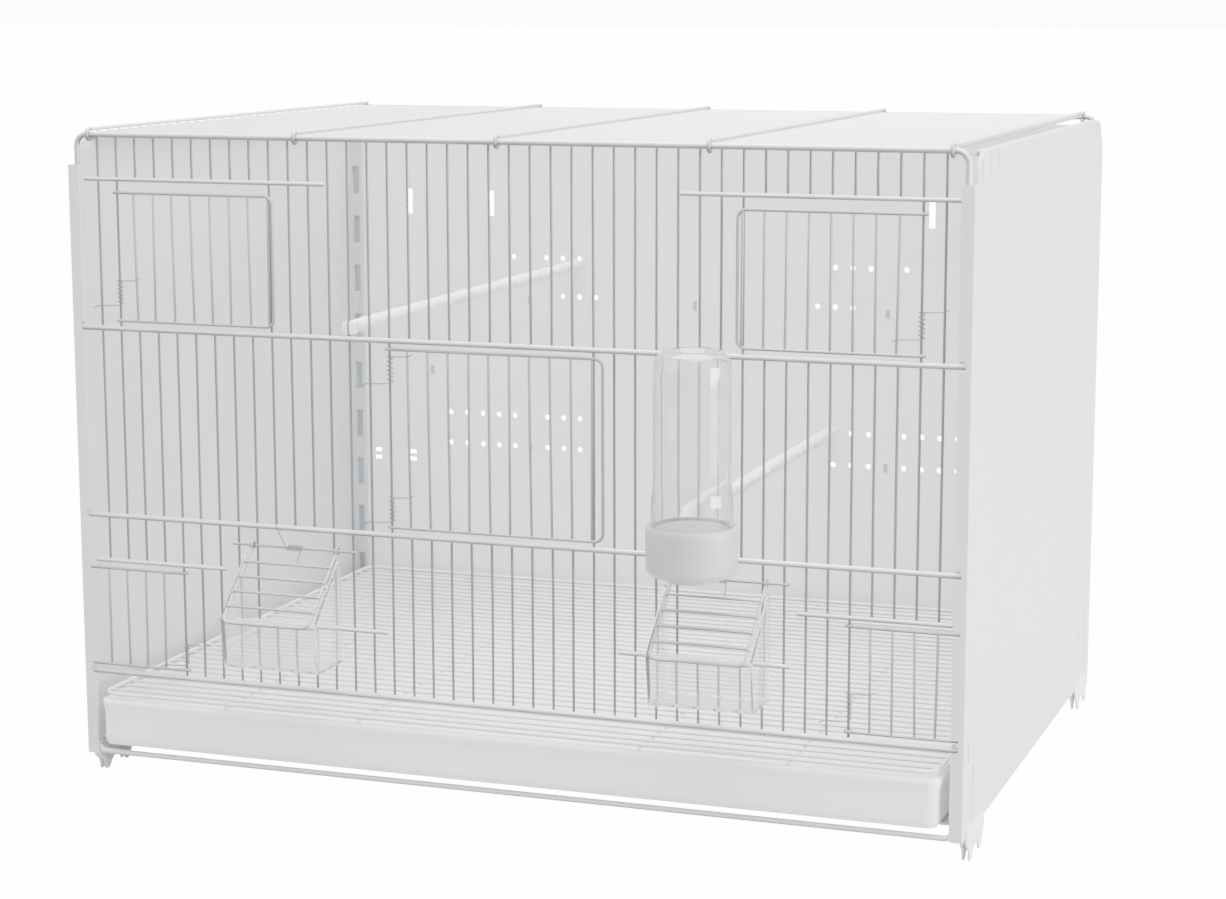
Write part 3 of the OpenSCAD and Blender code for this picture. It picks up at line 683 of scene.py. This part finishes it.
for name, node, doorBody, lowLegOnDoor in (
        ("springUpperLeft", "spring_upper_left", "door_upper_left", False),
        ("springUpperRight", "spring_upper_right", "door_upper_right", True),
        ("springCentreTop", "spring_centre_top", "door_centre", False),
        ("springCentreLow", "spring_centre_low", "door_centre", False),
        ("springLowerLeft", "spring_lower_left", "door_lower_left", True),
        ("springLowerRight", "spring_lower_right", "door_lower_right", False)):
    doorSpring(name, node, doorBody + "_hinge")
print("door springs made")


# feeder flaps and their springs
flap = {
    "half": 0.02772,
    "reach": 0.042,
    "fall": 0.038,
    "corner": 0.005,
    "cross": 4,
    "hookTurn": 300,
    "coilLength": 0.010,
}
slope = math.atan2(flap["fall"], flap["reach"])
flapLength = math.hypot(flap["fall"], flap["reach"])


def flapPiece(name, node, joint):
    # one bent wire from loop to loop, with wires welded across it
    x, y, z = hinges[joint]["pos_m"]

    def at(across, down, lift=0.0):
        # a point of the flap: across, down its slope and over its wires
        return (x + across, y - down * math.cos(slope) - lift * math.sin(slope),
                z - down * math.sin(slope) + lift * math.cos(slope))

    def hookAt(across):
        points = []
        for k in range(17):
            angle = math.radians(flap["hookTurn"]) * (1 - k / 16)
            points.append(at(across, door["loop"] * math.cos(angle), door["loop"] * math.sin(angle)))
        return points

    shape = Shell()
    bend = bent([at(-flap["half"], door["armStart"]), at(-flap["half"], flapLength),
                 at(flap["half"], flapLength), at(flap["half"], door["armStart"])], flap["corner"], 9)
    shape.tube(hookAt(-flap["half"]) + bend + hookAt(flap["half"])[::-1], wire["door"], 14, dome=0.9)
    for k in range(1, flap["cross"] + 1):
        down = flapLength * (k + 0.25) / 5.25
        lift = wire["door"] / 2 + wire["bar"] / 2 - 0.0003
        shape.tube([at(-flap["half"], down, lift), at(flap["half"], down, lift)], wire["bar"], 12)
        for side in (-1, 1):
            shape.bead(at(side * flap["half"], down, wire["door"] * 0.4), (0.0011, 0.0010, 0.0010))
    shape.piece(name, node, "door", (node,))


def flapSpring(name, node, joint):
    # a coil round the pivot wire, one leg up to the rail and one down to the flap
    x, y, z = hinges[joint]["pos_m"]
    rise = flap["coilLength"]
    first = x - rise / 2
    count = spring["turns"] * spring["perTurn"]
    coil = []
    for k in range(count + 1):
        angle = 2 * math.pi * spring["turns"] * k / count
        coil.append((first + rise * k / count, y - spring["coil"] * math.cos(angle),
                     z - spring["coil"] * math.sin(angle)))
    down = flapLength * 0.3
    upLeg = bent([coil[0], (first - 0.0045, y - 0.0029, z + 0.0105),
                  (first - 0.006, y - 0.0031, z + 0.014)], 0.002, 4)
    lift = wire["door"] / 2 + wire["bar"] + 0.0024
    tip = (first + rise + 0.002, y - down * math.cos(slope), z - down * math.sin(slope) + lift)
    downLeg = [coil[-1], tuple(Vector(coil[-1]).lerp(Vector(tip), 0.5)), tip]
    shape = Shell()
    shape.tube(upLeg[::-1][:-1] + coil + downLeg[1:], wire["spring"], 8)
    made = shape.piece(name, None, "spring", (node,), 60)
    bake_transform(made)


flapPiece("flapLeft", "flap_left", "flap_left_hinge")
flapPiece("flapRight", "flap_right", "flap_right_hinge")
flapSpring("flapSpringLeft", "flap_spring_left", "flap_left_hinge")
flapSpring("flapSpringRight", "flap_spring_right", "flap_right_hinge")
print("flaps and springs made")


# plastic shell
softened("side_panel_left", "sidePanelLeft", "cage", "panel", 0.0003)
softened("side_panel_right", "sidePanelRight", "cage", "panel", 0.0003)
softened("back_panel", "backPanel", "cage", "back", 0.0002, 1)
for node, name in (("foot_front_left", "footFrontLeft"), ("foot_front_right", "footFrontRight"),
                   ("foot_rear_left", "footRearLeft"), ("foot_rear_right", "footRearRight")):
    softened(node, name, "cage", "foot", 0.00025)


# painted shade: dark plates in the side panels' shallow recesses and in the rear posts' windows
recess = {
    "depth": 0.00072,
    "width": 0.0035,
    "inset": 0.00035,
    "spots": (
        # how far behind the front edge, how high, how tall
        (0.018, 0.3837, 0.012),
        (0.039, 0.3877, 0.014),
        (0.060, 0.3887, 0.009),
        (0.013, 0.0627, 0.013),
        (0.026, 0.0357, 0.034),
        (0.356, 0.0367, 0.034),
        (0.381, 0.0487, 0.034),
        (0.376, 0.3877, 0.011),
        (0.342, 0.3887, 0.005),
    ),
    "windowHalf": 0.0023,
    "windowTall": 0.020,
    "windowPitch": 0.036,
    "windowStart": 0.030,
}
notch = {"near": 0.2677, "far": 0.2706, "bottom": 0.0019, "top": 0.0040}
lip = {
    "first": 15,
    "turn": 100,
    "across": 0.0036,
    "rise": 0.0030,
    "inner": 0.72,
    "root": 0.2676,
    "drop": 0.0045,
}
for side, name in ((-1, "Left"), (1, "Right")):
    low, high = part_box("side_panel_left" if side < 0 else "side_panel_right")
    outerX = low.x if side < 0 else high.x
    recessShade = Shell()
    for along, height, tall in recess["spots"]:
        half, up = recess["width"] / 2 - recess["inset"], tall / 2 - recess["inset"]
        y, bottom, top = low.y + along, height - up, min(height + up, high.z - 0.0015)
        corners = ((y - half, bottom), (y + half, bottom), (y + half, top), (y - half, top))
        recessShade.skin([[(outerX - side * deep, y, z) for y, z in corners]
                     for deep in (recess["depth"], recess["depth"] + 0.00007)])
    post, half = side * (abs(outerX) - 0.007), recess["windowHalf"]
    z = low.z + recess["windowStart"]
    while z < high.z - 0.018 - recess["windowTall"]:
        bottom, top = z + 0.0003, z + 0.0197
        corners = ((post - half, bottom), (post + half, bottom), (post + half, top), (post - half, top))
        recessShade.skin([[(x, y, z) for x, z in corners] for y in (high.y - 0.01025, high.y - 0.01015)])
        z += recess["windowPitch"]
    # painted shade: a dark plate above each rail's end, in its notch of the front flange
    near, far = side * notch["near"], side * notch["far"]
    for railEnd in sorted({round(start.z, 4) for start, end in rails}):
        bottom, top = railEnd + notch["bottom"], railEnd + notch["top"]
        corners = ((near, bottom), (far, bottom), (far, top), (near, top))
        recessShade.skin([[(x, y, z) for x, z in corners] for y in (low.y + 0.00175, low.y + 0.00185)])
    recessShade.piece("panelRecesses" + name, "cage", "shade")
    # the lip along the top edge curls in towards the roof
    curl = []
    for k in range(7):
        angle = math.radians(lip["first"] + lip["turn"] * k / 6)
        curl.append((lip["across"] * math.cos(angle), lip["rise"] * math.sin(angle)))
    outline = curl + [(x * lip["inner"], z * lip["inner"]) for x, z in reversed(curl)]
    edging = Shell()
    edging.skin([[(side * (lip["root"] + x), y, high.z - lip["drop"] + z) for x, z in outline]
                 for y in (low.y + 0.026, low.y + 0.2, high.y - 0.024)])
    edging.piece("panelLip" + name, "cage", "panel")


# painted shade: dark plates on the faces of the small tabs stamped in the back panel
tabs = {
    "places": ((-0.1323, 0.2597), (0.1323, 0.2597), (-0.007, 0.2597), (-0.1323, 0.1519),
               (0.1323, 0.1519), (-0.209, 0.2052), (0.209, 0.2052)),
    "half": 0.0014,
    "tall": 0.0032,
}
tabShade = Shell()
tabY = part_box("back_panel")[0].y
for x, z in tabs["places"]:
    left, right, bottom, top = x - tabs["half"], x + tabs["half"], z - tabs["tall"], z + tabs["tall"]
    corners = ((left, bottom), (right, bottom), (right, top), (left, top))
    tabShade.skin([[(x, y, z) for x, z in corners] for y in (tabY - 0.0001, tabY + 0.0001)])
tabShade.piece("backTabFaces", "cage", "shade")


# tray
pan = {"corner": 0.008, "roll": 0.0025, "wall": 0.0018, "inset": 0.0013, "floor": 0.0018}


def roundedLoop(low, high, inset, corner, z, steps=6):
    # points round a rectangle with rounded corners
    points = []
    r = max(corner - inset, 0.0008)
    for cx, cy, first in ((high.x, high.y, 0), (low.x, high.y, 90),
                          (low.x, low.y, 180), (high.x, low.y, 270)):
        sx, sy = (1 if cx == high.x else -1), (1 if cy == high.y else -1)
        mx, my = cx - sx * (inset + r), cy - sy * (inset + r)
        for k in range(steps + 1):
            angle = math.radians(first + 90 * k / steps)
            points.append((mx + r * math.cos(angle), my + r * math.sin(angle), z))
    return points


low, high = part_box("tray")
rollZ = high.z - pan["roll"]
# the wall's outline of inset and height: outer side, rolled rim, inner side and floor
wallIn = pan["inset"] + pan["wall"]
profile = [(0.012, low.z), (0.006, low.z), (pan["inset"] + 0.0035, low.z),
           (pan["inset"] + 0.0012, low.z + 0.0006), (pan["inset"] + 0.0002, low.z + 0.0022),
           (pan["inset"], low.z + 0.005)]
profile += [(pan["inset"], low.z + (rollZ - low.z) * part) for part in (0.4, 0.6, 0.78)]
profile += [(0.0010, rollZ - 0.0045), (0.0005, rollZ - 0.0030), (0.0001, rollZ - 0.0012)]
for k in range(9):
    angle = math.pi * k / 8
    profile.append((pan["roll"] * (1 - math.cos(angle)), rollZ + pan["roll"] * math.sin(angle)))
profile += [(2 * pan["roll"] - 0.0004, rollZ - 0.0015), (wallIn + 0.0004, rollZ - 0.0035),
            (wallIn, rollZ - 0.006), (wallIn, low.z + 0.006), (wallIn + 0.0012, low.z + 0.0032),
            (wallIn + 0.004, low.z + 0.0019), (0.012, low.z + pan["floor"])]
tray = Shell()
tray.skin([roundedLoop(low, high, inset, pan["corner"], z) for inset, z in profile])
tray.piece("trayPan", "tray_drawer", "tray", ("tray",))
print("tray made")


# feeders, each on the body of its own name
for node, name in (("feeder_left", "feederLeft"), ("feeder_right", "feederRight")):
    softened(node, name, node, "clear", 0.0005, 3)


# drinker
drinker = {"sides": 72, "wall": 0.0013}


def lathe(centre, profile, sides):
    # rings round an upright axis through the profile's points of radius and height
    angles = [2 * math.pi * k / sides for k in range(sides)]
    return [[(centre[0] + radius * math.cos(angle), centre[1] + radius * math.sin(angle), z)
             for angle in angles] for radius, z in profile]


low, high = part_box("bottle")
middle = ((low.x + high.x) / 2, (low.y + high.y) / 2)
outer = (high.x - low.x) / 2 - 0.001
top, bottom = high.z, low.z
inner = outer - drinker["wall"]
outside = [(outer + 0.001, bottom), (outer + 0.001, bottom + 0.020), (outer + 0.0008, bottom + 0.024),
           (outer + 0.0001, bottom + 0.028), (outer, bottom + 0.034), (outer, bottom + 0.06),
           (outer - 0.0002, top - 0.012), (outer - 0.0005, top - 0.008), (outer - 0.0012, top - 0.0055),
           (outer - 0.0030, top - 0.0026), (outer - 0.0055, top - 0.0008), (outer - 0.0085, top),
           (outer - 0.0100, top - 0.0004), (outer - 0.0115, top - 0.0022),
           (outer - 0.0135, top - 0.0030), (0.0015, top - 0.0034)]
inside = [(0.0012, top - 0.0047), (outer - 0.0135, top - 0.0043), (outer - 0.0110, top - 0.0034),
          (outer - 0.0085, top - 0.0014), (outer - 0.0060, top - 0.0020),
          (outer - 0.0038, top - 0.0038), (outer - 0.0024, top - 0.0068), (inner, top - 0.013),
          (inner, bottom + 0.03), (inner + 0.0006, bottom + 0.022), (inner + 0.0006, bottom + 0.0004)]
bottle = Shell()
bottle.skin(lathe(middle, outside + inside, drinker["sides"]), True)
bottle.piece("bottleClear", "drinker", "bottle", ("bottle",), 50)
softened("drinker_cap", "drinkerCap", "drinker", "cap", 0.0006, 3)

# domed plate inside the cap, with the drinking hole in its middle
reach = inner - 0.0004
dome = [(0.003, bottom + 0.0072), (reach, bottom + 0.0070), (reach, bottom + 0.0084),
        (reach * 0.8, bottom + 0.0094), (reach * 0.45, bottom + 0.0099), (0.0045, bottom + 0.0100),
        (0.0030, bottom + 0.0094)]
plate = Shell()
plate.skin(lathe(middle, dome, drinker["sides"]), True)
plate.piece("drinkerPlate", "drinker", "panel")


# perches
perch = {"waves": 26, "swell": 0.00042, "jaw": 0.0026, "gap": 0.00095, "around": 28, "rings": 150}


def perchPiece(name, node):
    # a waved round rod with a fork at its front end
    low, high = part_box(node)
    x, z = (low.x + high.x) / 2, (low.z + high.z) / 2
    radius = (high.x - low.x) / 2
    rings = []
    startY = low.y + 0.006
    length = high.y - startY
    for k in range(perch["rings"] + 1):
        along = k / perch["rings"]
        ring = []
        for j in range(perch["around"]):
            angle = 2 * math.pi * j / perch["around"]
            wave = math.sin(along * perch["waves"] * 2 * math.pi + 1.3 * math.sin(3 * angle))
            wave += 0.6 * math.sin(along * perch["waves"] * 3.7 + 2 * angle)
            here = radius - perch["swell"] * (1.6 - wave)
            if k in (0, perch["rings"]):
                here *= 0.9
            ring.append((x + here * math.cos(angle), startY + along * length,
                         z + here * math.sin(angle)))
        rings.append(ring)
    shape = Shell()
    shape.skin(rings)
    wide = radius * 0.92
    for side in (-1, 1):
        # the fork's two jaws, one on each side of the bar
        near, far = x + side * perch["gap"], x + side * (perch["gap"] + perch["jaw"])
        places = ((low.y, wide * 0.6), (low.y + 0.001, wide), (startY + 0.001, wide))
        shape.skin([[(near, y, z - half), (far, y, z - half * 0.8), (far, y, z + half * 0.8),
                     (near, y, z + half)] for y, half in places])
    shape.piece(name, "cage", "perch", (node,), 50)


perchPiece("perchUpper", "perch_upper")
perchPiece("perchLower", "perch_lower")
print("plastic pieces made")


# floor, light and camera
studio = {
    "floor": tint(0.42, 0.425, 0.43),
    "floorShade": tint(0.40, 0.40, 0.405),
    "skyStops": ((0.0, 0.42), (0.9, 1.0)),
    "skyStrength": 3.1,
    "seen": 15.0,
    "overhead": 250,
    "right": 150,
    "left": 4,
    "lens": 79.32,
    "stand": (0.5774, -1.5889, 0.4818),
    "tilt": (90 - 9.72, 0.09, 19.69),
}

floorMesh = bpy.data.meshes.new("studioFloor")
floorMesh.from_pydata([(-30, -30, 0), (30, -30, 0), (30, 30, 0), (-30, 30, 0)], [], [(0, 1, 2, 3)])
floor = bpy.data.objects.new("studioFloor", floorMesh)
bpy.context.scene.collection.objects.link(floor)
floorPaint = Finish("studioFloor", Roughness=0.7)
cloud = floorPaint.noise(3, 4)
floorPaint.feed("Base Color", floorPaint.between(cloud, studio["floor"], studio["floorShade"]))
glow = floorPaint.node("ShaderNodeEmission", sockets={"Strength": studio["seen"]})
floorPaint.whiteWhenSeen(floorPaint.shader, glow, "Material Output")
floorMesh.materials.append(floorPaint.material)

# the sky is brighter overhead than at the horizon, as in a tent of white cloth
world = bpy.data.worlds.new("studioSky")
world.use_nodes = True
sky = NodeMaker(world.node_tree)
cloth = sky.tree.nodes["Background"]
cloth.inputs["Strength"].default_value = studio["skyStrength"]
way = sky.node("ShaderNodeTexCoord", output="Generated")
upward = sky.node("ShaderNodeSeparateXYZ", sockets={0: way}, output="Z")
stops = [(place, tint(tone * 0.97, tone * 0.985, tone)) for place, tone in studio["skyStops"]]
shade = sky.node("ShaderNodeValToRGB", {"stops": stops}, {0: upward}, "Color")
sky.tree.links.new(shade.socket, cloth.inputs["Color"])
glow = sky.node("ShaderNodeBackground", sockets={"Strength": studio["seen"]})
sky.whiteWhenSeen(cloth, glow, "World Output")
bpy.context.scene.world = world


def softBox(name, place, target, size, power):
    light = bpy.data.lights.new(name, "AREA")
    light.shape = "RECTANGLE"
    light.size, light.size_y = size
    light.energy = power
    made = bpy.data.objects.new(name, light)
    made.location = place
    made.rotation_euler = (Vector(target) - Vector(place)).to_track_quat("-Z", "Y").to_euler()
    bpy.context.scene.collection.objects.link(made)


softBox("overheadLight", (0.1, 0.2, 2.2), (0, 0, 0.2), (2.4, 2.0), studio["overhead"])
softBox("rightLight", (2.4, -0.2, 0.42), (0.2, 0, 0.2), (1.5, 0.7), studio["right"])
softBox("leftLight", (-2.0, -1.6, 1.5), (0, 0, 0.2), (1.4, 1.4), studio["left"])

lens = bpy.data.cameras.new("mainCamera")
lens.sensor_width = 36
lens.lens = studio["lens"]
lens.clip_start, lens.clip_end = 0.05, 100
camera = bpy.data.objects.new("mainCamera", lens)
camera.location = studio["stand"]
camera.rotation_euler = [math.radians(turn) for turn in studio["tilt"]]
bpy.context.scene.collection.objects.link(camera)
bpy.context.scene.camera = camera
print("studio set")
